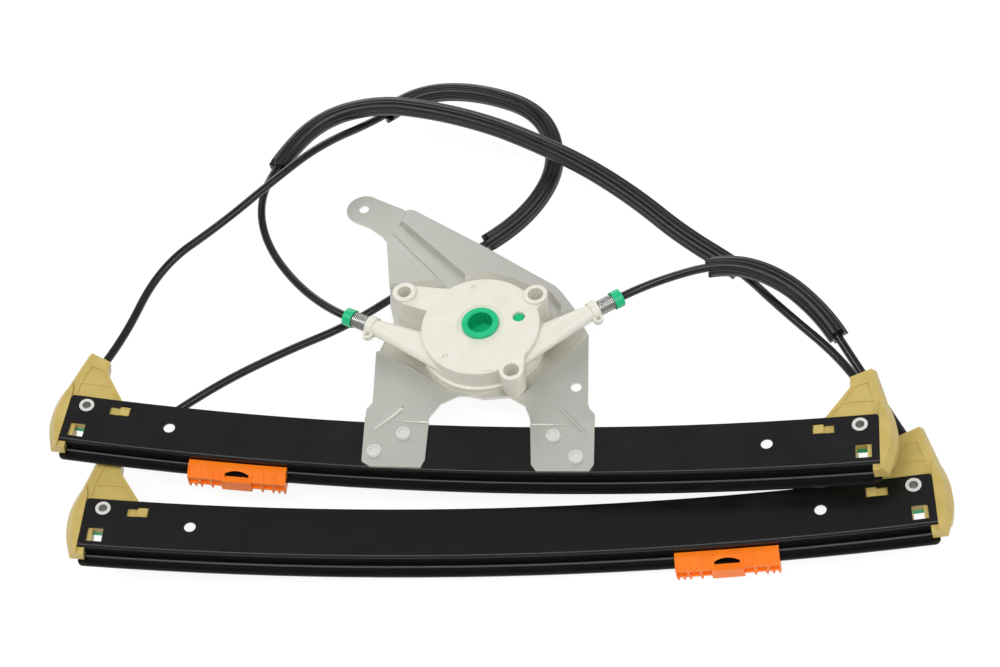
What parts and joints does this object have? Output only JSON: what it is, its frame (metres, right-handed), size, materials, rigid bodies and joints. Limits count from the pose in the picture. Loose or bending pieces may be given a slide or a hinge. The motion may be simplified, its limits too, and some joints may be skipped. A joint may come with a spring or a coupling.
{
  "type": "window regulator",
  "caption": "Two-rail cable window regulator with a splined drum in a plastic housing, sliders and sleeved conduits.",
  "frame": {"origin": "mouth of the drum's splined socket, on the drive axis", "axes": "+Z along the drive axis, out of the housing; +X along the rails to the right; +Y from the rails towards the drum"},
  "size_m": [0.546, 0.3895, 0.0724],
  "materials": {
    "black_paint": "smooth gloss black paint on steel sheet",
    "zinc_sheet": "zinc-plated steel sheet, slightly cloudy",
    "rivet_steel": "plain bright rivet steel",
    "white_plastic": "off-white moulded plastic",
    "green_plastic": "bright green moulded plastic",
    "yellow_plastic": "natural yellowed nylon, slightly translucent",
    "orange_plastic": "orange moulded plastic",
    "black_conduit": "smooth black conduit jacket",
    "black_sleeve": "soft black sleeve with fine ridges along it",
    "steel_rope": "greased stranded steel cable",
    "spring_steel": "bright spring wire"
  },
  "bodies": {
    "frame": {"rear_rail": "black_paint", "front_rail": "black_paint", "mounting_plate": "zinc_sheet", "plate_rivets": "rivet_steel", "end_eyelets": "rivet_steel", "housing_cover": "white_plastic", "housing_base": "white_plastic", "left_outlet_rope": "steel_rope", "right_outlet_rope": "steel_rope", "rear_rail_rope": "steel_rope", "front_rail_rope": "steel_rope", "left_spring": "spring_steel", "right_spring": "spring_steel", "left_conduit": "black_conduit", "right_conduit": "black_conduit", "cross_conduit": "black_conduit", "left_sleeve": "black_sleeve", "right_sleeve": "black_sleeve", "cross_sleeve": "black_sleeve", "rear_left_end_cap": "yellow_plastic", "rear_left_cable_guide": "green_plastic", "rear_right_end_cap": "yellow_plastic", "rear_right_cable_guide": "green_plastic", "front_left_end_cap": "yellow_plastic", "front_left_cable_guide": "green_plastic", "front_right_end_cap": "yellow_plastic", "front_right_cable_guide": "green_plastic"},
    "drum": {"cable_drum": "green_plastic", "wound_rope": "steel_rope"},
    "rear_slider": {"rear_slider": "orange_plastic", "rear_nipples": "spring_steel"},
    "front_slider": {"front_slider": "orange_plastic", "front_nipples": "spring_steel"},
    "left_tensioner": {"left_ferrule": "green_plastic"},
    "right_tensioner": {"right_ferrule": "green_plastic"}
  },
  "joints": [
    {"name": "drum_turn", "type": "hinge", "parent": "frame", "child": "drum", "pos_m": [0, 0, 0], "axis": [0, 0, 1], "range_deg": [-80, 735.4]},
    {"name": "rear_slider_travel", "type": "hinge", "parent": "frame", "child": "rear_slider", "pos_m": [0.00673, -0.0815, 1.26996], "axis": [0, -1, 0], "range_deg": [-1.57, 14.41]},
    {"name": "front_slider_travel", "type": "hinge", "parent": "frame", "child": "front_slider", "pos_m": [0.03313, -0.1272, 1.25056], "axis": [0.071, -0.9975, -0.0006], "range_deg": [-14.41, 1.57]},
    {"name": "left_ferrule_slide", "type": "slide", "parent": "frame", "child": "left_tensioner", "axis": [-0.9171, 0.3987, 0], "range_m": [-0.002, 0], "stiffness_N_per_m": 4000, "springref_m": 0.002},
    {"name": "right_ferrule_slide", "type": "slide", "parent": "frame", "child": "right_tensioner", "axis": [0.8192, 0.5736, 0], "range_m": [-0.002, 0], "stiffness_N_per_m": 4000, "springref_m": 0.002}
  ],
  "couplings": [
    {"joint": "rear_slider_travel", "follows": "drum_turn", "ratio": 0.01959},
    {"joint": "front_slider_travel", "follows": "drum_turn", "ratio": -0.01959}
  ]
}
